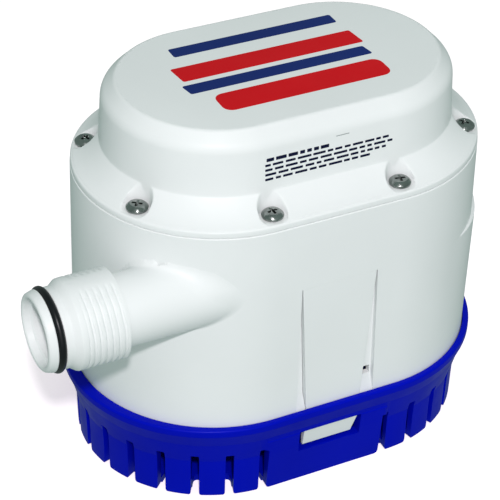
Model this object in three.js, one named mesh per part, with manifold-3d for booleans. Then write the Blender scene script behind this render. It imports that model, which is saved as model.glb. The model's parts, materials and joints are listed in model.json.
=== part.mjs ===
// An automatic bilge pump, oval in plan, in millimetres with +Z up.
// X runs along the oval, Y across it, and the strainer stands on Z = 0.
// The discharge port points along -X, and the front of the pump is at -Y.
import * as THREE from 'three';
import { mergeVertices } from 'three/addons/utils/BufferGeometryUtils.js';
import Module from 'manifold-3d';

const wasm = await Module();
wasm.setup();

// ---------- driving dimensions ----------

const GAP = 0.3;              // clearance between pieces that touch
const BEYOND = 1;             // how far a cutter runs past what it cuts
const HALF_STRAIGHT = 24.5;   // half of the oval's straight side
const OVAL_STEPS = 14;        // facets on each end arc of the oval
const QUARTER_TURN = Math.PI / 2;

// heights of the stack
const SLOT_TOP = 21.7;
const BAND_BOTTOM = 23.3;
const LEDGE = 24.0;
const LIP_BOTTOM = 31.8;
const SHOULDER = 32.5;        // where the housing's skirt steps out to its shell
const RIM_TOP = 34.8;
const TONGUE_TOP = 88;
const HOUSING_TOP = 115.0;
const COVER_BOTTOM = HOUSING_TOP + GAP + 0.1;
const COVER_TOP = 147.7;

// plan radii of the oval ends
const LOWER_WALL = 49.6;
const BAND = 52.3;
const LIP = 54.4;
const SUMP = 47.2;
const SKIRT = 49.8;
const SHELL_BOTTOM = 51.8;
const SHELL_TOP = 50.8;
const SHELL_INSIDE = 47.4;
const DOME_FOOT = 40.6;
const DOME = 39.6;
const SCREW_PATH = 45.5;

// discharge port
const PORT_Y = -36.3;
const PORT_Z = 88.6;
const PORT_MOUTH = -107;
const PORT_END = -31;
const PORT_TUBE = 12.85;
const PORT_BORE = 10.2;

// pump cartridge, turned about the left end's own axis
const VOLUTE = 40.3;
const VOLUTE_INSIDE = 38;
const VOLUTE_FLANGE = 44.5;
const VOLUTE_TOP = 104;
const POD = 31;
const CAN = 28.7;
const SHAFT = 3;
const SHAFT_BORE = SHAFT + 0.35;

// float switch
const PIVOT_X = 28;
const PIVOT_Z = 44;
const BULKHEAD_X = 22.4;

// ---------- materials ----------

const LOOKS = {
  white: { color: 0xe6ecec, roughness: 0.35, metalness: 0 },
  blue: { color: 0x0618a4, roughness: 0.4, metalness: 0 },
  rubber: { color: 0x101416, roughness: 0.6, metalness: 0 },
  stainless: { color: 0xb4b7ba, roughness: 0.25, metalness: 1 },
  steel: { color: 0x8d9296, roughness: 0.45, metalness: 1 },
  magnet: { color: 0x3a3c40, roughness: 0.7, metalness: 0.3 },
  copper: { color: 0xb4692f, roughness: 0.4, metalness: 0.9 },
  bronze: { color: 0xa8874a, roughness: 0.5, metalness: 0.9 },
  carbon: { color: 0x26282a, roughness: 0.8, metalness: 0.1 },
  black: { color: 0x1b1d20, roughness: 0.55, metalness: 0 },
  foam: { color: 0xd8b45a, roughness: 0.9, metalness: 0 },
};

// ---------- solids ----------

// Six times the volume that a triangle spans with the origin is summed, so a
// mesh whose faces point inwards comes out negative and is turned round.
function facesPointOut(position, index) {
  const a = new THREE.Vector3();
  const b = new THREE.Vector3();
  const c = new THREE.Vector3();
  let volume = 0;
  for (let i = 0; i < index.length; i += 3) {
    a.fromBufferAttribute(position, index[i]);
    b.fromBufferAttribute(position, index[i + 1]);
    c.fromBufferAttribute(position, index[i + 2]);
    volume += a.dot(b.cross(c));
  }
  return volume > 0;
}

function solid(geometry) {
  const bare = geometry.clone();
  bare.deleteAttribute('normal');
  bare.deleteAttribute('uv');
  const merged = mergeVertices(bare, 1e-4);
  const triVerts = Uint32Array.from(merged.index.array);
  if (!facesPointOut(merged.attributes.position, triVerts)) {
    triVerts.reverse();
  }
  const vertProperties = Float32Array.from(merged.attributes.position.array);
  return new wasm.Manifold(new wasm.Mesh({ numProp: 3, vertProperties, triVerts }));
}

function shapeOf(body) {
  const mesh = body.getMesh();
  const geometry = new THREE.BufferGeometry();
  geometry.setAttribute('position', new THREE.BufferAttribute(mesh.vertProperties, 3));
  geometry.setIndex(new THREE.BufferAttribute(mesh.triVerts, 1));
  geometry.computeVertexNormals();
  return geometry;
}

function joined(...bodies) {
  return bodies.reduce((sum, body) => sum.add(body));
}

function cut(body, ...cutters) {
  return cutters.reduce((rest, cutter) => rest.subtract(cutter), body);
}

function box([x0, x1], [y0, y1], [z0, z1]) {
  const geometry = new THREE.BoxGeometry(x1 - x0, y1 - y0, z1 - z0);
  geometry.translate((x0 + x1) / 2, (y0 + y1) / 2, (z0 + z1) / 2);
  return solid(geometry);
}

// A turned solid on a vertical axis, from [radius, height] corners. A tube's
// corners go round and close on themselves; a solid one's start and end at 0.
function turned(corners, segments = 24) {
  const onAxis = corners[0][0] === 0;
  const closed = onAxis ? corners : [...corners, corners[0]];
  const profile = closed.map(([radius, height]) => new THREE.Vector2(radius, height));
  return solid(new THREE.LatheGeometry(profile, segments).rotateX(QUARTER_TURN));
}

function rod(radius, bottom, top, segments = 24) {
  return turned([[0, bottom], [radius, bottom], [radius, top], [0, top]], segments);
}

function ring(inner, outer, bottom, top, segments = 24) {
  return turned([[inner, bottom], [outer, bottom], [outer, top], [inner, top]], segments);
}

function hexNut(bore, corners, bottom, top) {
  return cut(rod(corners, bottom, top, 6), rod(bore, bottom - BEYOND, top + BEYOND, 16));
}

function placed(body, x, y, z) {
  return solid(shapeOf(body).translate(x, y, z));
}

// A vertical turned solid laid down: its height runs along X, or along Y.
function alongX(body) {
  return solid(shapeOf(body).rotateY(QUARTER_TURN));
}

function alongY(body) {
  return solid(shapeOf(body).rotateX(-QUARTER_TURN));
}

// The same solid turned about the vertical axis.
function spun(body, angle) {
  return solid(shapeOf(body).rotateZ(angle));
}

function extruded(points, depth, curveSegments = 12) {
  const outline = new THREE.Shape(points.map(([x, y]) => new THREE.Vector2(x, y)));
  const settings = { depth, bevelEnabled: false, curveSegments };
  return solid(new THREE.ExtrudeGeometry(outline, settings));
}

// ---------- the oval plan ----------

function ovalOutline(radius) {
  const points = [];
  for (const side of [1, -1]) {
    for (let i = 0; i <= OVAL_STEPS; i += 1) {
      const angle = side * -QUARTER_TURN + (Math.PI * i) / OVAL_STEPS;
      points.push([
        side * HALF_STRAIGHT + radius * Math.cos(angle),
        radius * Math.sin(angle),
      ]);
    }
  }
  return points;
}

// A solid through oval sections, listed upwards as [radius, height].
function ovalSolid(sections) {
  const count = 2 * (OVAL_STEPS + 1);
  const position = [];
  const index = [];
  for (const [radius, height] of sections) {
    for (const [x, y] of ovalOutline(radius)) {
      position.push(x, y, height);
    }
  }
  const top = (sections.length - 1) * count;
  for (let i = 1; i < count - 1; i += 1) {
    index.push(0, i + 1, i);
    index.push(top, top + i, top + i + 1);
  }
  for (let level = 0; level < sections.length - 1; level += 1) {
    for (let i = 0; i < count; i += 1) {
      const a = level * count + i;
      const b = level * count + ((i + 1) % count);
      index.push(a, b, b + count, a, b + count, a + count);
    }
  }
  const geometry = new THREE.BufferGeometry();
  geometry.setAttribute('position', new THREE.Float32BufferAttribute(position, 3));
  geometry.setIndex(index);
  return solid(geometry);
}

// Where the eight cover screws stand: four on each end arc.
function screwPlaces() {
  const places = [];
  for (const side of [-1, 1]) {
    for (const degrees of [-90, -30, 30, 90]) {
      const angle = THREE.MathUtils.degToRad(degrees);
      places.push([
        side * (HALF_STRAIGHT + SCREW_PATH * Math.cos(angle)),
        SCREW_PATH * Math.sin(angle),
      ]);
    }
  }
  return places;
}

// ---------- strainer base ----------

const FLOOR = 3;                // thickness of the strainer's floor
const SLOT_WIDTH = 3;
const SLOT_DEPTH = 8.5;         // how far a slot runs in under the floor
const SLOT_PITCH = 14.1;        // degrees
const SLOTS_PER_END = 13;
const WINDOW_X = [-13.6, 11.6];
const WINDOW_Z = [14.7, 24.4];
const PANEL_X = [-25.2, 21.2];
const FOOT_EDGE = 0.6;          // broken edge round the foot
const WALL_DRAFT = 0.3;
const LIP_EDGE = 0.8;
const BASE_HOLE = 2.6;          // radius of a hull screw's hole
const BASE_HOLES = [[-48, 0], [24, -26], [24, 26]];

function strainerSlot(side, degrees) {
  const inner = LOWER_WALL - SLOT_DEPTH + SLOT_WIDTH / 2;
  const half = SLOT_WIDTH / 2;
  const wallCut = box([SUMP - BEYOND, BAND], [-half, half], [-BEYOND, SLOT_TOP]);
  const floorCut = box([inner, BAND], [-half, half], [-BEYOND, FLOOR + BEYOND]);
  const roundEnd = placed(rod(half, -BEYOND, FLOOR + BEYOND, 6), inner, 0, 0);
  const slot = spun(joined(wallCut, floorCut, roundEnd), THREE.MathUtils.degToRad(degrees));
  return placed(slot, side * HALF_STRAIGHT, 0, 0);
}

// The plain panel round the catch window, flush with the band at its top.
function windowPanel() {
  const section = [[-SUMP, 0], [-LOWER_WALL, 0], [-BAND, BAND_BOTTOM], [-SUMP, BAND_BOTTOM]];
  const plate = extruded(section, PANEL_X[1] - PANEL_X[0]);
  const upright = shapeOf(plate).rotateX(QUARTER_TURN).rotateZ(QUARTER_TURN);
  return solid(upright.translate(PANEL_X[0], 0, 0));
}

function strainerBase() {
  const outside = ovalSolid([
    [LOWER_WALL - FOOT_EDGE, 0],
    [LOWER_WALL, FOOT_EDGE],
    [LOWER_WALL + WALL_DRAFT, BAND_BOTTOM],
    [BAND, BAND_BOTTOM],
    [BAND, LIP_BOTTOM],
    [LIP, LIP_BOTTOM],
    [LIP, RIM_TOP - LIP_EDGE],
    [LIP - LIP_EDGE, RIM_TOP],
  ]);
  const inside = ovalSolid([
    [SUMP, FLOOR],
    [SUMP, LEDGE],
    [SKIRT + GAP, LEDGE],
    [SKIRT + GAP, SHOULDER - GAP],
    [SHELL_BOTTOM + GAP, SHOULDER - GAP],
    [SHELL_BOTTOM + GAP, RIM_TOP + BEYOND],
  ]);
  const slots = [];
  for (let i = 0; i < SLOTS_PER_END; i += 1) {
    slots.push(strainerSlot(-1, -92.9 - SLOT_PITCH * i));
    slots.push(strainerSlot(1, -92 + SLOT_PITCH * i));
  }
  const window = box(WINDOW_X, [-BAND - BEYOND, -SUMP + BEYOND], WINDOW_Z);
  const screwHoles = BASE_HOLES.map(
    ([x, y]) => placed(rod(BASE_HOLE, -BEYOND, FLOOR + BEYOND, 12), x, y, 0),
  );
  const panel = windowPanel();
  const body = joined(outside, panel, spun(panel, Math.PI));
  return cut(body, inside, ...slots, window, spun(window, Math.PI), ...screwHoles);
}

// ---------- housing, port and release tongues ----------

const TONGUE_TOP_HALF = 14.6;   // half widths of the release tongue
const TONGUE_FOOT_HALF = 11.2;
const TONGUE_INSIDE = 48.9;     // distance of its inner face from the middle
const GROOVE = 3.8;             // width of each groove beside the tongue's foot
const CATCH_BOTTOM = 17.6;
const BARB = 1.6;               // how far the catch stands into the window
const LEG = 1.2;                // radial thickness of the tongue's leg
const BOSS = 4.2;
const BOSS_BOTTOM = 102.5;
const SCREW_PILOT = 2.15;
const GROOVE_IN = 48.3;         // gasket groove
const GROOVE_OUT = 49.7;
const GASKET_HEIGHT = 1.4;
const GLAND_Z = 101;
const GLAND_HOLE = 6.1;

// The shell's plan radius at a height.
function shellRadius(height) {
  const part = (height - SHOULDER) / (HOUSING_TOP - SHOULDER);
  return THREE.MathUtils.lerp(SHELL_BOTTOM, SHELL_TOP, part);
}

// What is left open in the shell for a tongue and its two tapered grooves.
function tongueOpening() {
  const foot = TONGUE_FOOT_HALF + GROOVE;
  const outline = [
    [-foot, LEDGE - BEYOND],
    [foot, LEDGE - BEYOND],
    [TONGUE_TOP_HALF + GAP, TONGUE_TOP + GAP],
    [-TONGUE_TOP_HALF - GAP, TONGUE_TOP + GAP],
  ];
  const depth = SHELL_BOTTOM - SHELL_INSIDE + 2 * BEYOND;
  const plate = shapeOf(extruded(outline, depth)).rotateX(QUARTER_TURN);
  return solid(plate.translate(0, -SHELL_INSIDE + BEYOND, 0));
}

// The sprung tongue in the front wall: its skin is flush with the shell, its
// skirt drops inside the strainer's rim, and its barb hooks under the window.
function releaseTongue() {
  const section = [
    [-TONGUE_INSIDE, TONGUE_TOP],
    [-shellRadius(TONGUE_TOP), TONGUE_TOP],
    [-shellRadius(SHOULDER), SHOULDER],
    [-SKIRT, SHOULDER],
    [-SKIRT, WINDOW_Z[1] - GAP],
    [-SKIRT - BARB, WINDOW_Z[1] - GAP],
    [-SKIRT, CATCH_BOTTOM],
    [-SKIRT + LEG + BEYOND, CATCH_BOTTOM],
    [-SKIRT + LEG + BEYOND, SHOULDER],
  ];
  const width = 2 * TONGUE_TOP_HALF;
  const plate = shapeOf(extruded(section, width)).rotateX(QUARTER_TURN).rotateZ(QUARTER_TURN);
  const slab = solid(plate.translate(-TONGUE_TOP_HALF, 0, 0));
  const outline = [
    [-TONGUE_FOOT_HALF, CATCH_BOTTOM - BEYOND],
    [TONGUE_FOOT_HALF, CATCH_BOTTOM - BEYOND],
    [TONGUE_FOOT_HALF, LEDGE],
    [TONGUE_TOP_HALF, TONGUE_TOP + BEYOND],
    [-TONGUE_TOP_HALF, TONGUE_TOP + BEYOND],
    [-TONGUE_FOOT_HALF, LEDGE],
  ];
  const mask = shapeOf(extruded(outline, BAND)).rotateX(QUARTER_TURN);
  return slab.intersect(solid(mask));
}

// The port's outer surface, wider by a clearance where the shell is cut.
function portTube(extra) {
  return placed(alongX(rod(PORT_TUBE + extra, PORT_MOUTH, PORT_END + extra)), 0, PORT_Y, PORT_Z);
}

function pumpHousing() {
  const shell = cut(
    ovalSolid([
      [SKIRT, LEDGE + GAP],
      [SKIRT, SHOULDER],
      [SHELL_BOTTOM, SHOULDER],
      [SHELL_TOP, HOUSING_TOP],
    ]),
    ovalSolid([[SHELL_INSIDE, LEDGE - BEYOND], [SHELL_INSIDE, HOUSING_TOP + BEYOND]]),
  );
  const bosses = screwPlaces().map(([x, y]) => placed(rod(BOSS, BOSS_BOTTOM, HOUSING_TOP, 10), x, y, 0));
  const pilots = screwPlaces().map(
    ([x, y]) => placed(rod(SCREW_PILOT, BOSS_BOTTOM + 1, HOUSING_TOP + BEYOND, 8), x, y, 0),
  );
  const gasketGroove = cut(
    ovalSolid([[GROOVE_OUT, HOUSING_TOP - GASKET_HEIGHT], [GROOVE_OUT, HOUSING_TOP + BEYOND]]),
    ovalSolid([
      [GROOVE_IN, HOUSING_TOP - GASKET_HEIGHT - BEYOND],
      [GROOVE_IN, HOUSING_TOP + 2 * BEYOND],
    ]),
  );
  const glandHole = alongGland(rod(GLAND_HOLE, SHELL_INSIDE - BEYOND, SHELL_BOTTOM + BEYOND, 16));
  const opening = tongueOpening();
  return cut(
    joined(shell, ...bosses),
    ...pilots,
    gasketGroove,
    glandHole,
    opening,
    spun(opening, Math.PI),
    portTube(GAP),
  );
}

// radii of the port, and distances back from its mouth
const LIP_FRONT = 13.6;
const LIP_BACK = 14.4;
const LIP_CHAMFER = 0.5;
const MOUTH_EDGE = 12.2;        // the flare's radius at the mouth
const FLARE = 3;                // depth of the flare down to the bore
const O_RING_AT = 4.65;
const O_RING_WIRE = 1.4;        // radius of the o-ring's section
const O_RING_OUTER = 15.05;
const O_RING_SEAT = O_RING_OUTER - 2 * O_RING_WIRE - GAP;
const COLLAR = 14.9;
const THREAD_FROM = 12.9;
const THREAD_TO = 27.8;
const THREAD_CREST = 16.1;
const THREAD_ROOT = 15.2;
const THREAD_RIDGES = 8;
const PORT_WEB = 3;             // closed end of the tube, inside the volute

// The threaded spigot: lip, o-ring seat, collar, thread, and the tube that
// runs in through the shell and opens into the volute.
function dischargePort() {
  const seatFrom = O_RING_AT - O_RING_WIRE - GAP;
  const seatTo = O_RING_AT + O_RING_WIRE + GAP;
  const tubeEnd = PORT_END - PORT_MOUTH;
  const corners = [
    [MOUTH_EDGE, 0],
    [LIP_FRONT - LIP_CHAMFER, 0],
    [LIP_FRONT, LIP_CHAMFER],
    [LIP_BACK, seatFrom],
    [O_RING_SEAT, seatFrom],
    [O_RING_SEAT, seatTo],
    [COLLAR, seatTo],
    [COLLAR, THREAD_FROM],
  ];
  const pitch = (THREAD_TO - THREAD_FROM) / THREAD_RIDGES;
  for (let i = 0; i < THREAD_RIDGES; i += 1) {
    corners.push([THREAD_CREST, THREAD_FROM + pitch * (i + 0.5)]);
    corners.push([THREAD_ROOT, THREAD_FROM + pitch * (i + 1)]);
  }
  corners.push([PORT_TUBE, THREAD_TO]);
  corners.push([PORT_TUBE, tubeEnd]);
  corners.push([0, tubeEnd]);
  corners.push([0, tubeEnd - PORT_WEB]);
  corners.push([PORT_BORE, tubeEnd - PORT_WEB]);
  corners.push([PORT_BORE, FLARE]);
  const spigot = placed(alongX(turned(corners, 20)), PORT_MOUTH, PORT_Y, PORT_Z);
  const volute = placed(rod(VOLUTE + GAP, VOLUTE_FLOOR, HOUSING_TOP, 32), -HALF_STRAIGHT, 0, 0);
  return cut(spigot, volute);
}

function dischargeORing() {
  const wire = new THREE.TorusGeometry(O_RING_OUTER - O_RING_WIRE, O_RING_WIRE, 8, 24);
  wire.rotateY(QUARTER_TURN);
  wire.translate(PORT_MOUTH + O_RING_AT, PORT_Y, PORT_Z);
  return solid(wire);
}

// ---------- cover ----------

const EDGE_TOP = 117.4;         // where the cover's edge turns into its sloping shoulder
const EDGE_ROUND = 0.9;
const SHOULDER_TOP = 124.9;     // where the shoulder meets the dome
const COVER_WALL = 2.6;
const COVER_ROOF = 2.8;
const RECESS = 6.2;             // radius of the flat seat cut into the shoulder at a screw
const RECESS_FLOOR = 117.3;
const HEAD = 4;
const HEAD_HEIGHT = 2.4;
const SHANK = 1.8;
const SHANK_BOTTOM = 104.2;
const CROSS = 0.6;              // half width of the screw's cross slot
const CROSS_REACH = 0.55;       // share of the head's radius that the cross reaches
const CROSS_FLOOR = 0.45;       // the cross's floor, as a share of the head's height
const HEAD_SIDE = 0.6;          // where the head's side ends, as a share of its height
const HEAD_CROWN = 0.7;         // the crown's radius, as a share of the head's

// The rolled edge from the dome's wall to its flat top: [inset, drop].
const ROOF_EDGE = [[0, 4.7], [1.3, 1.9], [3, 0.5], [4.8, 0]];

function topCover() {
  const shoulder = ovalSolid([
    [SHELL_TOP, COVER_BOTTOM],
    [SHELL_TOP, EDGE_TOP - EDGE_ROUND],
    [SHELL_TOP - EDGE_ROUND, EDGE_TOP + EDGE_ROUND / 2],
    [DOME_FOOT, SHOULDER_TOP],
  ]);
  const dome = ovalSolid([
    [DOME_FOOT, COVER_BOTTOM],
    [DOME_FOOT, SHOULDER_TOP],
    ...ROOF_EDGE.map(([inset, drop]) => [DOME - inset, COVER_TOP - drop]),
  ]);
  const inside = ovalSolid([
    [DOME - COVER_WALL, COVER_BOTTOM - BEYOND],
    [DOME - COVER_WALL, COVER_TOP - 2 * COVER_ROOF],
    [DOME - COVER_WALL - COVER_ROOF, COVER_TOP - COVER_ROOF],
  ]);
  const seats = screwPlaces().map(([x, y]) => placed(rod(RECESS, RECESS_FLOOR, COVER_TOP, 16), x, y, 0));
  const holes = screwPlaces().map(
    ([x, y]) => placed(rod(SCREW_PILOT, COVER_BOTTOM - BEYOND, RECESS_FLOOR + BEYOND, 8), x, y, 0),
  );
  return cut(joined(cut(shoulder, ...seats), dome), inside, ...holes);
}

function coverGasket() {
  const bottom = HOUSING_TOP - GASKET_HEIGHT + GAP;
  return cut(
    ovalSolid([[GROOVE_OUT - GAP, bottom], [GROOVE_OUT - GAP, HOUSING_TOP]]),
    ovalSolid([[GROOVE_IN + GAP, bottom - BEYOND], [GROOVE_IN + GAP, HOUSING_TOP + BEYOND]]),
  );
}

// A pan-head screw with a cross slot, its head resting just over z = 0.
function panHeadScrew(head, headHeight, shank, length) {
  const body = turned([
    [0, -length],
    [shank, -length],
    [shank, GAP],
    [head, GAP],
    [head, headHeight * HEAD_SIDE],
    [head * HEAD_CROWN, headHeight],
    [0, headHeight],
  ], 10);
  const arm = head * CROSS_REACH;
  const depth = [headHeight * CROSS_FLOOR, headHeight + BEYOND];
  return cut(
    body,
    box([-arm, arm], [-CROSS, CROSS], depth),
    box([-CROSS, CROSS], [-arm, arm], depth),
  );
}

// ---------- pump cartridge, about its own axis at the origin ----------

const VOLUTE_FLOOR = 27.1;
const PLATE_BOTTOM = LEDGE + GAP;
const PLATE_TOP = VOLUTE_FLOOR - GAP;
const EYE = 14;                 // radius of the pump's inlet
const PLATE_SCREW_PATH = 42;
const PLATE_SCREW_ANGLES = [45, 135, 225, 315];
const PLATE_SCREW_HEAD = 2.9;
const PLATE_SCREW_HEAD_HEIGHT = 1.8;
const PLATE_SCREW_SHANK = 1.35;
const PLATE_SCREW_LENGTH = 8;
const PLATE_SCREW_HOLE = 1.75;
const PLATE_BOSS = 3;
const PLATE_BOSS_TOP = 39.1;
const VOLUTE_FLANGE_TOP = 30.1;
const IMPELLER = 30;
const IMPELLER_BOTTOM = 28.6;
const NUT_CORNERS = 5;
const NUT_HEIGHT = 3;
const IMPELLER_TOP = 39.4;
const POD_BOTTOM = 41;
const CAN_BOTTOM = 45;
const CAN_TOP = 100;
const CAN_WALL = 1.4;
const END_CAP_TOP = 103;
const SEAL = 6.8;
const BEARING = 7;
const BEARING_HEIGHT = 4.2;
const CORE = 23.4;
const CORE_Z = [58, 84];
const WINDING_Z = [52, 91.6];   // the far ends of the two windings
const WINDING = 19.5;
const WINDING_END = 16;
const COMMUTATOR = 9;
const COMMUTATOR_Z = [92.4, 99];

// Where the four screws of the inlet plate stand.
function plateScrewPlaces() {
  return PLATE_SCREW_ANGLES.map((degrees) => {
    const angle = THREE.MathUtils.degToRad(degrees);
    return [PLATE_SCREW_PATH * Math.cos(angle), PLATE_SCREW_PATH * Math.sin(angle)];
  });
}

function aroundCartridge(body) {
  return plateScrewPlaces().map(([x, y]) => placed(body, x, y, 0));
}

// The round body with the impeller chamber below and the water jacket above.
function voluteBody() {
  const tube = ring(VOLUTE_INSIDE, VOLUTE, VOLUTE_FLOOR, VOLUTE_TOP, 32);
  const flange = ring(VOLUTE - 1, VOLUTE_FLANGE, VOLUTE_FLOOR, VOLUTE_FLANGE_TOP, 32);
  const bosses = aroundCartridge(rod(PLATE_BOSS, VOLUTE_FLOOR, PLATE_BOSS_TOP, 10));
  const pilots = aroundCartridge(
    rod(PLATE_SCREW_SHANK + GAP, VOLUTE_FLOOR - BEYOND, PLATE_BOSS_TOP - 2, 8),
  );
  const outlet = placed(
    alongX(rod(PORT_BORE, PORT_MOUTH, PORT_END - PORT_WEB, 20)),
    HALF_STRAIGHT,
    PORT_Y,
    PORT_Z,
  );
  return cut(joined(tube, flange, ...bosses), ...pilots, outlet);
}

function inletPlate() {
  const plate = ring(EYE, VOLUTE_FLANGE, PLATE_BOTTOM, PLATE_TOP, 32);
  const hole = rod(PLATE_SCREW_HOLE, PLATE_BOTTOM - BEYOND, PLATE_TOP + BEYOND, 8);
  return cut(plate, ...aroundCartridge(hole));
}

const BLADES = 6;
const BLADE_SWEEP = 20;
const BLADE_HALF = 0.8;
const BACK_PLATE = 2;
const HUB = 6.2;

// Six swept-back blades under a round back plate, on a hub. Each blade is part
// of a ring whose radius is the sweep.
function impeller() {
  const plate = rod(IMPELLER, IMPELLER_TOP - BACK_PLATE, IMPELLER_TOP, 28);
  const hub = rod(HUB, IMPELLER_BOTTOM, IMPELLER_TOP, 14);
  const blades = [];
  for (let i = 0; i < BLADES; i += 1) {
    const curved = ring(
      BLADE_SWEEP - BLADE_HALF,
      BLADE_SWEEP + BLADE_HALF,
      IMPELLER_BOTTOM + 1,
      IMPELLER_TOP - 1,
      20,
    );
    const kept = box([SHAFT, IMPELLER - 1], [0, IMPELLER], [IMPELLER_BOTTOM, IMPELLER_TOP]);
    const blade = placed(curved, BLADE_SWEEP / 2 + HUB, 0, 0).intersect(kept);
    blades.push(spun(blade, (2 * Math.PI * i) / BLADES));
  }
  const disc = rod(IMPELLER, IMPELLER_BOTTOM, IMPELLER_TOP, 28);
  const body = joined(plate, hub, ...blades).intersect(disc);
  return cut(body, rod(SHAFT_BORE, IMPELLER_BOTTOM - BEYOND, IMPELLER_TOP + BEYOND, 12));
}

function impellerNut() {
  const top = IMPELLER_BOTTOM - GAP;
  return hexNut(SHAFT_BORE, NUT_CORNERS, top - NUT_HEIGHT, top);
}

const POD_WALL = 2;
const POD_RIM = 2.8;
const JACKET_WIRE = 1.6;

// The dry pod that keeps the water away from the motor; its rim closes the jacket.
function motorPod() {
  return turned([
    [SEAL + GAP, POD_BOTTOM],
    [POD - 1, POD_BOTTOM],
    [POD, POD_BOTTOM + 1],
    [POD, VOLUTE_TOP + GAP],
    [VOLUTE, VOLUTE_TOP + GAP],
    [VOLUTE, VOLUTE_TOP + POD_RIM],
    [POD - POD_WALL, VOLUTE_TOP + POD_RIM],
    [POD - POD_WALL, CAN_BOTTOM - GAP],
    [SEAL + GAP, CAN_BOTTOM - GAP],
  ], 28);
}

function jacketORing() {
  const wire = new THREE.TorusGeometry(POD + 2 * GAP + JACKET_WIRE, JACKET_WIRE, 6, 28);
  wire.translate(0, 0, VOLUTE_TOP - 2 * GAP - JACKET_WIRE);
  return solid(wire);
}

function shaftSeal() {
  return turned([
    [SHAFT_BORE, POD_BOTTOM + 0.2],
    [SEAL, POD_BOTTOM + 0.2],
    [SEAL, CAN_BOTTOM - 2 * GAP],
    [SHAFT_BORE + 1.2, CAN_BOTTOM - 2 * GAP],
    [SHAFT_BORE + 1.2, POD_BOTTOM + 2],
    [SHAFT_BORE, POD_BOTTOM + 1.4],
  ], 16);
}

function motorCan() {
  const floor = CAN_BOTTOM + CAN_WALL;
  return turned([
    [SHAFT_BORE + GAP, CAN_BOTTOM],
    [CAN, CAN_BOTTOM],
    [CAN, CAN_TOP],
    [CAN - CAN_WALL, CAN_TOP],
    [CAN - CAN_WALL, floor],
    [BEARING + 2, floor],
    [BEARING + 2, floor + BEARING_HEIGHT],
    [BEARING + GAP, floor + BEARING_HEIGHT],
    [BEARING + GAP, floor],
    [SHAFT_BORE + GAP, floor],
  ], 28);
}

const MAGNET_HALF_ANGLE = 62;   // degrees
const AIR_GAP = 0.8;
const LOWER_BEARING = CAN_BOTTOM + CAN_WALL + GAP;

function magnet(direction) {
  const arc = ring(CORE + AIR_GAP, CAN - CAN_WALL - GAP, CORE_Z[0] - 3, CORE_Z[1] + 3, 28);
  const spread = THREE.MathUtils.degToRad(MAGNET_HALF_ANGLE);
  const reach = 2 * CAN;
  const wedge = extruded([
    [0, 0],
    [reach * Math.cos(spread), -reach * Math.sin(spread)],
    [reach * Math.cos(spread), reach * Math.sin(spread)],
  ], CAN_TOP);
  return spun(arc.intersect(wedge), direction);
}

function bearing(bottom, top) {
  return ring(SHAFT_BORE, BEARING, bottom, top, 16);
}

const CORE_SLOTS = 8;
const CORE_SLOT_HALF = 1.2;
const CORE_SLOT_DEPTH = 6;

function armatureCore() {
  const slots = [];
  for (let i = 0; i < CORE_SLOTS; i += 1) {
    const slot = box(
      [CORE - CORE_SLOT_DEPTH, CORE + BEYOND],
      [-CORE_SLOT_HALF, CORE_SLOT_HALF],
      [CORE_Z[0] - BEYOND, CORE_Z[1] + BEYOND],
    );
    slots.push(spun(slot, (2 * Math.PI * i) / CORE_SLOTS));
  }
  return cut(ring(SHAFT_BORE, CORE, CORE_Z[0], CORE_Z[1], 24), ...slots);
}

function armatureWinding(bottom, top) {
  return turned([
    [SHAFT_BORE + 1.5, bottom],
    [WINDING_END, bottom],
    [WINDING, bottom + 2],
    [WINDING, top - 2],
    [WINDING_END, top],
    [SHAFT_BORE + 1.5, top],
  ], 20);
}

const BAR_GROOVE_HALF = 0.3;
const BAR_GROOVE_DEPTH = 0.7;

function commutator() {
  const cuts = [];
  for (let i = 0; i < CORE_SLOTS; i += 1) {
    const groove = box(
      [COMMUTATOR - BAR_GROOVE_DEPTH, COMMUTATOR + BEYOND],
      [-BAR_GROOVE_HALF, BAR_GROOVE_HALF],
      [COMMUTATOR_Z[0] + 1, CAN_TOP],
    );
    cuts.push(spun(groove, (2 * Math.PI * (i + 0.5)) / CORE_SLOTS));
  }
  return cut(ring(SHAFT_BORE, COMMUTATOR, COMMUTATOR_Z[0], COMMUTATOR_Z[1], 24), ...cuts);
}

const BRUSH_SIZE = 4.6;
const BRUSH_Z = 96;
const BRUSH_FROM = COMMUTATOR + 0.4;
const BRUSH_TO = 16.5;
const HOLDER_FROM = 12;
const HOLDER_END = 25.5;
const HOLDER_WALL = 1.2;

// The span from one distance to another along Y, on the given side.
function spanAlong(side, from, to) {
  return side > 0 ? [from, to] : [-to, -from];
}

// The end cap carries the top bearing and a square tunnel for each brush.
function motorEndCap() {
  const disc = ring(BEARING + GAP, CAN, CAN_TOP + GAP, END_CAP_TOP, 24);
  const half = BRUSH_SIZE / 2;
  const holders = [];
  const tunnels = [];
  for (const side of [1, -1]) {
    const reach = spanAlong(side, HOLDER_FROM, HOLDER_END);
    const bore = spanAlong(side, HOLDER_FROM - BEYOND, HOLDER_END - HOLDER_WALL);
    const outer = half + GAP + HOLDER_WALL;
    holders.push(box([-outer, outer], reach, [BRUSH_Z - outer, CAN_TOP + 1]));
    tunnels.push(box([-half - GAP, half + GAP], bore, [BRUSH_Z - half - GAP, BRUSH_Z + half + GAP]));
  }
  return cut(joined(disc, ...holders), ...tunnels);
}

function brush(side) {
  const half = BRUSH_SIZE / 2;
  const reach = spanAlong(side, BRUSH_FROM, BRUSH_TO);
  return box([-half, half], reach, [BRUSH_Z - half, BRUSH_Z + half]);
}

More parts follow.
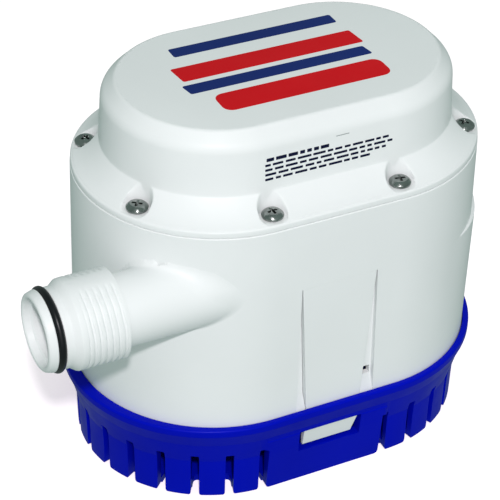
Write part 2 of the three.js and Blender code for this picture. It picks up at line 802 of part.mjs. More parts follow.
// A helical spring of square-cut wire, wound along Y behind a brush.
class Helix extends THREE.Curve {
  constructor(radius, from, to, turns) {
    super();
    Object.assign(this, { radius, from, to, turns });
  }

  getPoint(t) {
    const angle = 2 * Math.PI * this.turns * t;
    return new THREE.Vector3(
      this.radius * Math.cos(angle),
      THREE.MathUtils.lerp(this.from, this.to, t),
      BRUSH_Z + this.radius * Math.sin(angle),
    );
  }
}

const SPRING_WIRE = 0.3;
const SPRING_RADIUS = 1.6;
const SPRING_TURNS = 3.5;

function brushSpring() {
  const section = new THREE.Shape();
  section.absarc(0, 0, SPRING_WIRE, 0, 2 * Math.PI);
  const from = BRUSH_TO + GAP + SPRING_WIRE;
  const to = HOLDER_END - HOLDER_WALL - GAP - SPRING_WIRE;
  const path = new Helix(SPRING_RADIUS, from, to, SPRING_TURNS);
  const settings = { extrudePath: path, steps: 28, curveSegments: 2, bevelEnabled: false };
  return solid(new THREE.ExtrudeGeometry(section, settings));
}

const SHAFT_Z = [23.6, 104];
const SHAFT_CHAMFER = 0.6;

function rotorShaft() {
  return turned([
    [0, SHAFT_Z[0]],
    [SHAFT - SHAFT_CHAMFER, SHAFT_Z[0]],
    [SHAFT, SHAFT_Z[0] + SHAFT_CHAMFER],
    [SHAFT, SHAFT_Z[1] - SHAFT_CHAMFER],
    [SHAFT - SHAFT_CHAMFER, SHAFT_Z[1]],
    [0, SHAFT_Z[1]],
  ], 12);
}

// ---------- float switch ----------

const FLOAT_RADIUS = 43;        // the float follows the end of the oval
const FLOAT_X0 = 33;
const FLOAT_HALF = 26;
const FLOAT_Z = [27.6, 47.6];
const EAR_Y = [13, 18];
const LUG_Y = [18.6, 21.6];
const EAR = 3;                  // radius of the float's ears round the pin
const LUG = 3.5;                // half height of the bulkhead's lugs
const PIN = 1.5;
const BULKHEAD_Z = [32, 99];
const WATERWAY_HALF = 12;       // opening at the bulkhead's foot
const WATERWAY_Z = [31, 40];
const WIREWAY_HALF = 8;         // opening for the switch's wires
const WIREWAY_Z = [78, 90];
const PLUNGER_X = 38;
const PLUNGER = 1.6;
const PLUNGER_BOTTOM = FLOAT_Z[1] + 0.5;
const SWITCH_Z = [60, 74];
const SWITCH_HALF = 9;
const SWITCH_END = 44;

function mirroredInY(y) {
  return [y, [-y[1], -y[0]]];
}

function float() {
  const outline = [];
  const spread = Math.asin(FLOAT_HALF / FLOAT_RADIUS);
  const steps = 12;
  for (let i = 0; i <= steps; i += 1) {
    const angle = THREE.MathUtils.lerp(-spread, spread, i / steps);
    outline.push([HALF_STRAIGHT + FLOAT_RADIUS * Math.cos(angle), FLOAT_RADIUS * Math.sin(angle)]);
  }
  outline.push([FLOAT_X0, FLOAT_HALF]);
  outline.push([FLOAT_X0, -FLOAT_HALF]);
  const block = placed(extruded(outline, FLOAT_Z[1] - FLOAT_Z[0]), 0, 0, FLOAT_Z[0]);
  const ears = mirroredInY(EAR_Y).map((y) => {
    const bar = box([PIVOT_X, FLOAT_X0 + BEYOND], y, [PIVOT_Z - EAR, PIVOT_Z + EAR]);
    const round = placed(alongY(rod(EAR, y[0], y[1], 14)), PIVOT_X, 0, PIVOT_Z);
    return joined(bar, round);
  });
  const bore = pivotRod(PIN + 0.4, EAR_Y[1] + BEYOND);
  return cut(joined(block, ...ears), bore);
}

function pivotRod(radius, half) {
  return placed(alongY(rod(radius, -half, half, 12)), PIVOT_X, 0, PIVOT_Z);
}

function pivotPin() {
  return pivotRod(PIN, LUG_Y[1]);
}

// The plate across the housing that carries the float's lugs and the switch.
function floatBulkhead() {
  const face = BULKHEAD_X + 1;
  const back = BULKHEAD_X - 1;
  const plate = box([back, face], [-SHELL_INSIDE + GAP, SHELL_INSIDE - GAP], BULKHEAD_Z);
  const lugs = mirroredInY(LUG_Y).map(
    (y) => box([back, PIVOT_X + LUG], y, [PIVOT_Z - LUG, PIVOT_Z + LUG]),
  );
  const bore = pivotRod(PIN + GAP, LUG_Y[1] + BEYOND);
  const through = [back - BEYOND, face + BEYOND];
  const waterway = box(through, [-WATERWAY_HALF, WATERWAY_HALF], WATERWAY_Z);
  const wireway = box(through, [-WIREWAY_HALF, WIREWAY_HALF], WIREWAY_Z);
  return cut(joined(plate, ...lugs), bore, waterway, wireway);
}

function switchBody() {
  const face = BULKHEAD_X + 1 + GAP;
  const body = box([face, SWITCH_END], [-SWITCH_HALF, SWITCH_HALF], SWITCH_Z);
  const bore = placed(rod(PLUNGER + 0.4, SWITCH_Z[0] - BEYOND, SWITCH_Z[1] - 4, 12), PLUNGER_X, 0, 0);
  return cut(body, bore);
}

function switchPlunger() {
  const body = turned([
    [0, PLUNGER_BOTTOM],
    [PLUNGER - 0.5, PLUNGER_BOTTOM],
    [PLUNGER, PLUNGER_BOTTOM + 0.6],
    [PLUNGER, SWITCH_Z[0] + 5],
    [0, SWITCH_Z[0] + 5],
  ], 12);
  return placed(body, PLUNGER_X, 0, 0);
}

// ---------- cable gland, on the rear wall ----------

const GLAND_FACE = 51.3;        // outer side of the rear wall, with its clearance
const GLAND_INNER = 41.5;
const GLAND_OUTER = 63;
const GLAND_STEM = 5.7;
const GLAND_FLANGE = 9;
const GLAND_FLANGE_TOP = GLAND_FACE + 4;
const GLAND_CAP = 7.6;
const GLAND_CHAMFER = 1.2;
const CORD_HOLE = 3.4;
const SEAL_WALL = 1.6;
const SEAL_Y = [GLAND_FACE + 2, GLAND_OUTER - 2];
const STEM_BORE = 4.7;
const GLAND_NUT = 9.5;
const GLAND_NUT_Y = [43.4, SHELL_INSIDE - GAP];

function cableGland() {
  return alongGland(turned([
    [STEM_BORE, GLAND_INNER],
    [GLAND_STEM, GLAND_INNER],
    [GLAND_STEM, GLAND_FACE],
    [GLAND_FLANGE, GLAND_FACE],
    [GLAND_FLANGE, GLAND_FLANGE_TOP],
    [GLAND_CAP, GLAND_FLANGE_TOP],
    [GLAND_CAP, GLAND_OUTER - GLAND_CHAMFER],
    [GLAND_CAP - GLAND_CHAMFER, GLAND_OUTER],
    [CORD_HOLE, GLAND_OUTER],
    [CORD_HOLE, SEAL_Y[1]],
    [CORD_HOLE + SEAL_WALL + GAP, SEAL_Y[1]],
    [CORD_HOLE + SEAL_WALL + GAP, SEAL_Y[0]],
    [STEM_BORE, SEAL_Y[0]],
  ], 20));
}

function glandSeal() {
  return alongGland(ring(CORD_HOLE, CORD_HOLE + SEAL_WALL, SEAL_Y[0] + GAP, SEAL_Y[1] - GAP, 16));
}

function glandNut() {
  return alongGland(hexNut(GLAND_HOLE, GLAND_NUT, ...GLAND_NUT_Y));
}

function alongGland(body) {
  return placed(alongY(body), 0, 0, GLAND_Z);
}

// ---------- assembly ----------

const group = new THREE.Group();

function add(parent, name, body, look) {
  const mesh = new THREE.Mesh(shapeOf(body), new THREE.MeshStandardMaterial(LOOKS[look]));
  mesh.name = name;
  parent.add(mesh);
  return mesh;
}

add(group, 'strainer_base', strainerBase(), 'blue');
add(group, 'pump_housing', pumpHousing(), 'white');
add(group, 'discharge_port', dischargePort(), 'white');
add(group, 'discharge_o_ring', dischargeORing(), 'rubber');
add(group, 'front_release_tongue', releaseTongue(), 'white');
add(group, 'rear_release_tongue', releaseTongue(), 'white').rotation.z = Math.PI;
add(group, 'top_cover', topCover(), 'white');
add(group, 'cover_gasket', coverGasket(), 'rubber');

screwPlaces().forEach(([x, y], i) => {
  const screw = panHeadScrew(HEAD, HEAD_HEIGHT, SHANK, RECESS_FLOOR - SHANK_BOTTOM);
  add(group, `cover_screw_${i + 1}`, screw, 'stainless').position.set(x, y, RECESS_FLOOR);
});

const cartridge = new THREE.Group();
cartridge.position.x = -HALF_STRAIGHT;
group.add(cartridge);
add(cartridge, 'volute_body', voluteBody(), 'white');
add(cartridge, 'inlet_plate', inletPlate(), 'white');
add(cartridge, 'motor_pod', motorPod(), 'white');
add(cartridge, 'jacket_o_ring', jacketORing(), 'rubber');
add(cartridge, 'shaft_seal', shaftSeal(), 'rubber');
add(cartridge, 'motor_can', motorCan(), 'steel');
add(cartridge, 'field_magnet_1', magnet(0), 'magnet');
add(cartridge, 'field_magnet_2', magnet(Math.PI), 'magnet');
add(cartridge, 'lower_bearing', bearing(LOWER_BEARING, LOWER_BEARING + BEARING_HEIGHT), 'bronze');
add(cartridge, 'upper_bearing', bearing(CAN_TOP + GAP, END_CAP_TOP), 'bronze');
add(cartridge, 'motor_end_cap', motorEndCap(), 'black');
add(cartridge, 'brush_1', brush(1), 'carbon');
add(cartridge, 'brush_2', brush(-1), 'carbon');
add(cartridge, 'brush_spring_1', brushSpring(), 'steel');
add(cartridge, 'brush_spring_2', brushSpring(), 'steel').rotation.z = Math.PI;
add(cartridge, 'rotor_shaft', rotorShaft(), 'stainless');
add(cartridge, 'armature_core', armatureCore(), 'steel');
add(cartridge, 'lower_winding', armatureWinding(WINDING_Z[0], CORE_Z[0] - GAP), 'copper');
add(cartridge, 'upper_winding', armatureWinding(CORE_Z[1] + GAP, WINDING_Z[1]), 'copper');
add(cartridge, 'commutator', commutator(), 'copper');
add(cartridge, 'impeller', impeller(), 'black');
add(cartridge, 'impeller_nut', impellerNut(), 'stainless');

plateScrewPlaces().forEach(([x, y], i) => {
  const body = panHeadScrew(
    PLATE_SCREW_HEAD,
    PLATE_SCREW_HEAD_HEIGHT,
    PLATE_SCREW_SHANK,
    PLATE_SCREW_LENGTH,
  );
  const screw = add(cartridge, `inlet_plate_screw_${i + 1}`, body, 'stainless');
  screw.position.set(x, y, PLATE_BOTTOM);
  screw.rotation.x = Math.PI;
});

add(group, 'float', float(), 'foam');
add(group, 'float_pivot_pin', pivotPin(), 'stainless');
add(group, 'float_bulkhead', floatBulkhead(), 'white');
add(group, 'switch_body', switchBody(), 'black');
add(group, 'switch_plunger', switchPlunger(), 'stainless');
add(group, 'cable_gland', cableGland(), 'black');
add(group, 'gland_nut', glandNut(), 'black');
add(group, 'gland_seal', glandSeal(), 'rubber');

export default group;
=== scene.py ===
"""An automatic bilge pump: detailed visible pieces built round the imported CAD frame.

Shapes are worked out in millimetres in the row frame and scaled to metres as each mesh is made.
"""

import json
import math
import random

import bmesh
import bpy
import numpy as np
from mathutils import Matrix, Vector


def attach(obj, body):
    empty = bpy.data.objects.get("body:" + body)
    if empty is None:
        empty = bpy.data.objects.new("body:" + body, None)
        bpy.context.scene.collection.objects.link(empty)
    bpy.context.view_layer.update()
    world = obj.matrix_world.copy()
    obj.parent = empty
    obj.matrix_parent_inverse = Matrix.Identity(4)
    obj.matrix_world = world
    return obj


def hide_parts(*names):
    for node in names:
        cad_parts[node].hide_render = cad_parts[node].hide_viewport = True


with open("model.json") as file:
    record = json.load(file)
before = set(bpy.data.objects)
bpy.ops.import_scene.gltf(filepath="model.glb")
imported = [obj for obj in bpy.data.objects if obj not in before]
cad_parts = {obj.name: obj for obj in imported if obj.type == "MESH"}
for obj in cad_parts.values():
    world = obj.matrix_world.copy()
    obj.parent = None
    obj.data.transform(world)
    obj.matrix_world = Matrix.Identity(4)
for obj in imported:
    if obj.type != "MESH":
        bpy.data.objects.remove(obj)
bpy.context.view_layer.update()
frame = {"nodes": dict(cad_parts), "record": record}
scene = bpy.context.scene
MM = 0.001

# ---------- driving dimensions, in millimetres ----------

HALF_STRAIGHT = 24.5
ARC_STEPS = 96
SIDE_STEPS = 48
TURN_STEPS = 128

LEDGE = 24.0
SHOULDER = 32.5
RIM_TOP = 34.8
HOUSING_TOP = 115.0
COVER_TOP = 147.64

SKIRT = 49.8
SHELL_BOTTOM = 51.8
SHELL_TOP = 50.8
SHELL_INSIDE = 47.4
SCREW_PATH = 45.5
SCREW_ANGLES = (-90, -30, 30, 90)

PORT_Y = -36.3
PORT_Z = 88.6
PORT_MOUTH = -107.0
PORT_TUBE = 12.85
PORT_ROOT = -36.0

# ---------- mesh helpers ----------


def new_object(name, verts, faces):
    """An object from points in millimetres, with doubled points joined and faces turned outwards."""
    mesh = bpy.data.meshes.new(name)
    mesh.from_pydata((np.asarray(verts, float).reshape(-1, 3) * MM).tolist(), [], faces)
    clean = bmesh.new()
    clean.from_mesh(mesh)
    bmesh.ops.remove_doubles(clean, verts=clean.verts, dist=1e-7)
    bmesh.ops.recalc_face_normals(clean, faces=clean.faces)
    clean.to_mesh(mesh)
    clean.free()
    obj = bpy.data.objects.new(name, mesh)
    scene.collection.objects.link(obj)
    return obj


def skin(name, rows, wrap=False):
    """A closed body over rows of points that each go once round; capped at both ends unless it wraps."""
    rows = np.asarray(rows, float)
    count, width = rows.shape[:2]
    faces = []
    for i in range(count if wrap else count - 1):
        here, there = i * width, (i + 1) % count * width
        for j in range(width):
            k = (j + 1) % width
            faces.append((here + j, here + k, there + k, there + j))
    if not wrap:
        faces.append(tuple(reversed(range(width))))
        faces.append(tuple(range((count - 1) * width, count * width)))
    return new_object(name, rows, faces)


def rounded(corners, closed=False, steps=5):
    """A profile through (a, b, fillet) corners, with an arc of that radius in place of each corner."""
    points = []
    last = len(corners) - 1
    for i, (a, b, fillet) in enumerate(corners):
        here = Vector((a, b))
        if not fillet or (not closed and i in (0, last)):
            points.append((a, b))
            continue
        back = Vector(corners[i - 1][:2]) - here
        ahead = Vector(corners[(i + 1) % len(corners)][:2]) - here
        half = back.angle(ahead) / 2
        reach = min(fillet / math.tan(half), back.length * 0.49, ahead.length * 0.49)
        radius = reach * math.tan(half)
        back.normalize()
        ahead.normalize()
        centre = here + (back + ahead).normalized() * (radius / math.sin(half))
        start = here + back * reach - centre
        end = here + ahead * reach - centre
        sweep = math.pi - 2 * half
        for k in range(steps + 1):
            t = k / steps
            spoke = start * math.sin((1 - t) * sweep) + end * math.sin(t * sweep)
            points.append(tuple(centre + spoke / math.sin(sweep)))
    return points


def oval_frame(arc_steps, side_steps):
    """The inner point and outward direction of each step round the oval, anticlockwise."""
    base, out = [], []
    for side in (1, -1):
        for i in range(arc_steps + 1):
            angle = math.radians(180 * i / arc_steps - 90 * side)
            base.append((side * HALF_STRAIGHT, 0))
            out.append((math.cos(angle), math.sin(angle)))
        for i in range(1, side_steps):
            base.append((side * HALF_STRAIGHT * (1 - 2 * i / side_steps), 0))
            out.append((0, side))
    return np.array(base), np.array(out)


PLAIN = oval_frame(ARC_STEPS, SIDE_STEPS)
FINE = oval_frame(ARC_STEPS * 4, SIDE_STEPS * 4)


def oval_row(radius, height, steps=PLAIN):
    """One row of points round the oval; radius and height are numbers or one value per point."""
    base, out = steps
    spots = base + out * np.broadcast_to(radius, len(base))[:, None]
    return np.column_stack([spots, np.broadcast_to(height, len(base))])


def turned(name, profile, wrap=False, steps=TURN_STEPS):
    """A body turned about Z from (radius, height) points."""
    angles = np.arange(steps) * 2 * math.pi / steps
    across, along = np.cos(angles), np.sin(angles)
    rows = [np.column_stack([r * across, r * along, np.full(steps, z)]) for r, z in profile]
    return skin(name, rows, wrap)


def rectangle(across, along):
    """The outline of a rectangle, from its two limits in X and in Y."""
    return [(across[0], along[0]), (across[1], along[0]), (across[1], along[1]), (across[0], along[1])]


def slab(name, outline, low, high, place=Matrix.Identity(4)):
    """An outline in X and Y drawn up from one height to another, then placed."""
    rows = [[(x, y, z) for x, y in outline] for z in (low, high)]
    obj = skin(name, rows)
    obj.data.transform(place)
    return obj


def moved(x, y, z):
    """A shift in millimetres as a matrix."""
    return Matrix.Translation(Vector((x, y, z)) * MM)


# UPRIGHT sets a slab's outline in X and Z, drawn towards -Y; OUTWARD sets it in Y and Z, towards +X
UPRIGHT = Matrix.Rotation(math.radians(90), 4, "X")
OUTWARD = Matrix(((0, 0, 1, 0), (1, 0, 0, 0), (0, 1, 0, 0), (0, 0, 0, 1)))
HALF_TURN = Matrix.Rotation(math.pi, 4, "Z")
TO_Y = Matrix.Rotation(math.radians(-90), 4, "X")


def merged(name, parts):
    """One object that holds all the parts' meshes."""
    whole = bmesh.new()
    for part in parts:
        whole.from_mesh(part.data)
        bpy.data.objects.remove(part)
    mesh = bpy.data.meshes.new(name)
    whole.to_mesh(mesh)
    whole.free()
    obj = bpy.data.objects.new(name, mesh)
    scene.collection.objects.link(obj)
    return obj


def carve(obj, tool, operation="DIFFERENCE"):
    """Cuts the tool from obj, or joins it on, and removes the tool."""
    change = obj.modifiers.new("carve", "BOOLEAN")
    change.operation = operation
    change.object = tool
    change.solver = "MANIFOLD"
    graph = bpy.context.evaluated_depsgraph_get()
    obj.data = bpy.data.meshes.new_from_object(obj.evaluated_get(graph))
    obj.modifiers.clear()
    bpy.data.objects.remove(tool)
    return obj


def soften(obj, width=0.35, angle=32, segments=3, crisp=None):
    """Rounds the edges sharper than angle, but for any at the height crisp, and shades the body smooth."""
    mesh = bmesh.new()
    mesh.from_mesh(obj.data)
    weight = mesh.edges.layers.float.new("bevel_weight_edge")
    for e in mesh.edges:
        if len(e.link_faces) == 2 and e.calc_face_angle() > math.radians(angle):
            level = crisp and all(abs(v.co.z / MM - crisp) < 0.3 for v in e.verts)
            e[weight] = 0.0 if level else 1.0
    mesh.to_mesh(obj.data)
    mesh.free()
    edge = obj.modifiers.new("edges", "BEVEL")
    edge.width = width * MM
    edge.segments = segments
    edge.limit_method = "WEIGHT"
    edge.miter_outer = "MITER_ARC"
    edge.use_clamp_overlap = True
    shade(obj)
    level = obj.modifiers.new("normals", "WEIGHTED_NORMAL")
    level.keep_sharp = True
    return obj


def shade(obj, sharp=48):
    """Shades the body smooth, but for edges sharper than this many degrees."""
    obj.data.shade_smooth()
    obj.data.set_sharp_from_angle(angle=math.radians(sharp))
    return obj


def finish_piece(obj, body, finish, node):
    """Gives a piece its material, the body it moves with, and the CAD node it stands in for."""
    obj.data.materials.clear()
    obj.data.materials.append(finish)
    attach(obj, body)
    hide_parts(node)


def smooth_step(t):
    """0 below t = 0 and 1 above t = 1, with an easy run between."""
    t = np.clip(t, 0, 1)
    return t * t * (3 - 2 * t)


def shell_radius(z):
    """The housing's outer radius at a height; its draft narrows it upwards."""
    return np.interp(z, [SHOULDER, HOUSING_TOP], [SHELL_BOTTOM, SHELL_TOP])


def screw_places(out=0):
    """The middles of the eight screws, or places that far outside them."""
    reach = SCREW_PATH + out
    places = []
    for side in (-1, 1):
        for degrees in SCREW_ANGLES:
            angle = math.radians(degrees)
            x = side * (HALF_STRAIGHT + reach * math.cos(angle))
            places.append((x, reach * math.sin(angle)))
    return places


# ---------- materials ----------


def look(name, colour, rough, metal=0.0, tone=0.06, tone_size=18, rough_swing=0.06,
         grain=0.02, grain_size=2500, wave=0.0, specular=0.5):
    """A moulded or metal surface: mottled colour, uneven gloss, fine grain and a slight waviness.

    tone_size and grain_size are noise scales in 1/m; grain and wave are bump heights in millimetres.
    """
    m = bpy.data.materials.new(name)
    m.use_nodes = True
    nodes, links = m.node_tree.nodes, m.node_tree.links
    shader = nodes["Principled BSDF"]
    shader.inputs["Metallic"].default_value = metal
    shader.inputs["Specular IOR Level"].default_value = specular
    where = nodes.new("ShaderNodeTexCoord")

    def noise(scale, detail):
        n = nodes.new("ShaderNodeTexNoise")
        n.inputs["Scale"].default_value = scale
        n.inputs["Detail"].default_value = detail
        links.new(where.outputs["Object"], n.inputs["Vector"])
        return n.outputs["Fac"]

    ramp = nodes.new("ShaderNodeValToRGB")
    links.new(noise(tone_size, 5), ramp.inputs["Fac"])
    ramp.color_ramp.elements[0].position = 0.32
    ramp.color_ramp.elements[1].position = 0.70
    ramp.color_ramp.elements[0].color = (*[c * (1 - tone) for c in colour], 1)
    ramp.color_ramp.elements[1].color = (*[min(1, c * (1 + tone / 2)) for c in colour], 1)
    links.new(ramp.outputs["Color"], shader.inputs["Base Color"])

    gloss = nodes.new("ShaderNodeMapRange")
    gloss.inputs["From Min"].default_value = 0.3
    gloss.inputs["From Max"].default_value = 0.7
    gloss.inputs["To Min"].default_value = rough - rough_swing
    gloss.inputs["To Max"].default_value = rough + rough_swing
    links.new(noise(tone_size * 6, 4), gloss.inputs["Value"])
    links.new(gloss.outputs["Result"], shader.inputs["Roughness"])

    normal = None
    for height, size, detail in ((wave, 90, 2), (grain, grain_size, 3)):
        if not height:
            continue
        bump = nodes.new("ShaderNodeBump")
        bump.inputs["Strength"].default_value = 1.0
        bump.inputs["Distance"].default_value = height * MM
        links.new(noise(size, detail), bump.inputs["Height"])
        if normal:
            links.new(normal, bump.inputs["Normal"])
        normal = bump.outputs["Normal"]
    if normal:
        links.new(normal, shader.inputs["Normal"])
    return m


WHITE = (0.82, 0.84, 0.84)
LOOKS = {
    "white_plastic": look("white_abs", WHITE, 0.42, tone=0.03, grain=0.006, wave=0.035, specular=0.22),
    "blue_plastic": look("blue_abs", (0.0, 0.004, 0.46), 0.36, tone=0.1, grain=0.012, wave=0.03,
                         specular=0.05),
    "black_rubber": look("black_rubber", (0.003, 0.004, 0.006), 0.36, tone=0.3, grain=0.012, wave=0.02,
                         specular=0.3),
    "stainless": look("stainless", (0.30, 0.32, 0.31), 0.2, metal=1.0, tone=0.25, tone_size=300,
                      rough_swing=0.08, grain=0.004, grain_size=900),
    "plain_steel": look("plated_steel", (0.36, 0.38, 0.39), 0.42, metal=1.0, tone=0.2, grain=0.006),
    "ferrite": look("ferrite", (0.06, 0.062, 0.07), 0.7, metal=0.2, tone=0.3, grain_size=1500),
    "copper": look("copper", (0.55, 0.24, 0.10), 0.38, metal=1.0, tone=0.25, grain=0.01, grain_size=700),
    "bronze": look("bronze", (0.42, 0.28, 0.11), 0.5, metal=1.0, tone=0.25, grain=0.012,
                   grain_size=1800),
    "carbon": look("carbon", (0.02, 0.02, 0.022), 0.75, tone=0.3, grain=0.015, grain_size=2200),
    "black_plastic": look("black_nylon", (0.015, 0.016, 0.018), 0.46, tone=0.25, grain=0.01, wave=0.02),
    "float_foam": look("float_foam", (0.62, 0.43, 0.12), 0.88, tone=0.25, tone_size=60, grain=0.08,
                       grain_size=900),
}
NAVY = look("navy_ink", (0.006, 0.022, 0.16), 0.4, tone=0.12, grain=0.003, grain_size=3000, specular=0.1)
DARK = look("dark_ink", (0.004, 0.006, 0.035), 0.5, tone=0.2, grain=0.003, grain_size=3000, specular=0.1)
RED = look("red_ink", (0.66, 0.002, 0.008), 0.4, tone=0.08, grain=0.003, grain_size=3000, specular=0.1)
GREY = look("pale_grey_mark", (0.36, 0.40, 0.40), 0.5, tone=0.2, grain=0.003, grain_size=3000)

# The hidden inner pieces keep their CAD meshes and get the finish of their slot.
for part in frame["record"]["subparts"]:
    node = frame["nodes"][part["node"]]
    node.data.materials.clear()
    node.data.materials.append(LOOKS[part["material_slot"]])

# ---------- strainer base ----------

BAND = 52.3
LIP = 54.4
SUMP = 47.2
FLOOR = 3.0
FLOOR_MIDDLE = 18.0                     # radius of the plain middle of the floor
FOOT = 49.5
SLOT_TOP = 19.9
SLOT_HALF = 1.5
SLOT_CORNER = 0.3
SLOT_DEPTH = 8.5
LEFT_STRETCH = 0.035
TOE = 1.6                               # rounding of each foot's bottom corners
SLOT_PITCH = 14.1                       # degrees
SLOTS_PER_END = 13
SLOT_START = {-1: -92.9, 1: -92.0}      # degrees, for the left and the right end
WINDOW_X = (-13.6, 11.6)
WINDOW_Z = (14.7, 24.4)
PANEL_X = (-27.0, 22.8)                 # the plain panel round the front window
PANEL_TOP = 24.4
BASE_HOLES = ((-48, 0), (24, -26), (24, 26))
BASE_HOLE = 2.6                         # radius


def stretch_left(points):
    """Draws out the strainer's left end, which is a little longer than its right end."""
    points = np.array(points, float)
    points[:, 0] += np.minimum(points[:, 0] + HALF_STRAIGHT, 0) * LEFT_STRETCH
    return points


def slot_cutter(name, outline, low, high, place):
    """A placed slab that follows the stretch of the left end."""
    obj = slab(name, outline, low, high, place)
    spots = stretch_left([v.co / MM for v in obj.data.vertices])
    obj.data.vertices.foreach_set("co", (spots * MM).ravel())
    return obj


def slot_outline():
    """A slot seen from outside, flared at its foot by the rounding of the feet beside it."""
    sweep = np.linspace(0, math.pi / 2, 6)
    flare = [(SLOT_HALF + TOE * (1 - math.cos(t)), TOE - TOE * math.sin(t)) for t in sweep]
    half = [
        (SLOT_HALF - SLOT_CORNER, SLOT_TOP),
        (SLOT_HALF, SLOT_TOP - SLOT_CORNER),
        *flare,
        (SLOT_HALF + TOE, -1),
    ]
    return [(0, SLOT_TOP), *half, *[(-a, b) for a, b in reversed(half)]]


def run_outline():
    """A slot's run into the floor seen from above: round at its inner end, and a little narrower."""
    half = SLOT_HALF - 0.05
    middle = FOOT - SLOT_DEPTH + SLOT_HALF
    sweep = np.linspace(math.pi / 2, 3 * math.pi / 2, 9)
    end = [(middle + half * math.cos(t), half * math.sin(t)) for t in sweep]
    return [*end, (SUMP - 1, -half), (SUMP - 1, half)]


def panel_share():
    """1 on the plain panels round the two windows and 0 elsewhere, for each point of a row."""
    base, out = PLAIN
    spots = base + out * FOOT
    front = (spots[:, 1] < -45) & (spots[:, 0] > PANEL_X[0]) & (spots[:, 0] < PANEL_X[1])
    rear = (spots[:, 1] > 45) & (spots[:, 0] < -PANEL_X[0]) & (spots[:, 0] > -PANEL_X[1])
    return (front | rear).astype(float)


def strainer():
    """The whole base in one skin, with its slots, their runs in the floor, the windows and the holes cut."""
    outside = rounded([
        (FLOOR_MIDDLE, 0, 0),
        (SUMP - 5, 0, 0),
        (FOOT, 0, 0.7),
        (FOOT + 0.1, 3.0, 0),
        (FOOT + 0.3, 12.0, 0),
        (FOOT + 0.5, 17.0, 4),
        (BAND, 26.4, 3),
        (LIP, 32.0, 2),
        (LIP, RIM_TOP, 0.9),
        (SHELL_BOTTOM + 0.25, RIM_TOP, 0.35),
        (SHELL_BOTTOM + 0.25, SHOULDER - 0.3, 0),
        (SKIRT + 0.3, SHOULDER - 0.3, 0.3),
        (SKIRT + 0.3, LEDGE, 0),
        (SUMP, LEDGE, 0.4),
        (SUMP, FLOOR, 0.6),
        (SUMP - 5, FLOOR, 0),
        (FLOOR_MIDDLE, FLOOR, 0),
    ])
    share = panel_share()
    rows = []
    for radius, height in outside:
        # the panels stand out level with the band
        flush = FOOT + (BAND - FOOT) * min(1, height / PANEL_TOP)
        lift = share * max(0, flush - radius) if radius > FOOT - 1 and height < PANEL_TOP else 0
        row = oval_row(radius + lift, height)
        outer = radius > BAND - 0.1 or (height < PANEL_TOP and radius > SUMP + 0.8)
        rows.append(stretch_left(row) if outer else row)
    body = skin("strainer_base_detail", rows)
    slots, runs, windows, holes = [], [], [], []
    for side, start in SLOT_START.items():
        for i in range(SLOTS_PER_END):
            turn = Matrix.Rotation(math.radians(start + side * SLOT_PITCH * i), 4, "Z")
            place = moved(side * HALF_STRAIGHT, 0, 0) @ turn
            slots.append(slot_cutter("slot", slot_outline(), SUMP - 2, LIP + 2, place @ OUTWARD))
            runs.append(slot_cutter("run", run_outline(), -1, FLOOR + 1, place))
    for turn in (Matrix.Identity(4), HALF_TURN):
        windows.append(slab("window", rectangle(WINDOW_X, WINDOW_Z), SUMP - 2, LIP, turn @ UPRIGHT))
    for x, y in BASE_HOLES:
        hole = turned("hole", [(BASE_HOLE, -1), (BASE_HOLE, FLOOR + 1)], steps=32)
        hole.data.transform(moved(x, y, 0))
        holes.append(hole)
    for group in (slots, runs, windows, holes):
        carve(body, merged("cutters", group))
    return soften(body, 0.4, 36)


finish_piece(strainer(), "pump", LOOKS["blue_plastic"], "strainer_base")

# ---------- housing ----------

PARTING = 85.2          # the mould's parting line round the right end
END_SWELL = 1.2         # how far the wall stands out just below it
SWELL_FOOT = 38
SWELL_EDGE = 62         # degrees from the right end's middle to where the swell has faded out
SWELL_FADE = 25         # degrees that it fades over
TONGUE_TOP = 88.0
TONGUE_TOP_HALF = 14.5
TONGUE_FOOT_HALF = 10.2
TONGUE_LEAN = 0.6
TONGUE_GAP = 0.14
TONGUE_TOP_GAP = 0.02
GROOVE_TOP = 0.35                       # a groove's width at the top
GROOVE_OUTER = {-1: 15.5, 1: 15.8}      # at the foot of the left and of the right groove
GROOVE_DEPTH = 1.7
GROOVE_RAMP_TOP = 40.5
HOLE_X = (10.6, 15.0)
HOLE_Z = (41.0, 44.4)
GLAND_Z = 101.0
GLAND_HOLE = 6.2        # radius


def tongue_edge(side, z):
    """The tongue's left (-1) or right (1) edge; it leans a little to the left as it goes down."""
    lean = np.interp(z, [LEDGE, TONGUE_TOP], [TONGUE_LEAN, 0])
    return float(side * np.interp(z, [LEDGE, TONGUE_TOP], [TONGUE_FOOT_HALF, TONGUE_TOP_HALF]) - lean)


def groove_cutter(side, turn):
    """A groove that tapers up beside the tongue, with a floor that runs out in a ramp at the foot."""
    floor = -shell_radius(TONGUE_TOP) + GROOVE_DEPTH
    heights = [RIM_TOP, TONGUE_TOP]
    rows = []
    for z, depth in ((TONGUE_TOP, floor), (GROOVE_RAMP_TOP, floor), (RIM_TOP - 1, -SHELL_BOTTOM + 0.25)):
        near = side * np.interp(z, heights, [TONGUE_FOOT_HALF - 1, TONGUE_TOP_HALF - 1])
        far = side * np.interp(z, heights, [GROOVE_OUTER[side], TONGUE_TOP_HALF + GROOVE_TOP])
        rows.append([(near, -LIP, z), (far, -LIP, z), (far, depth, z), (near, depth, z)])
    groove = skin("groove", rows)
    groove.data.transform(turn)
    return groove


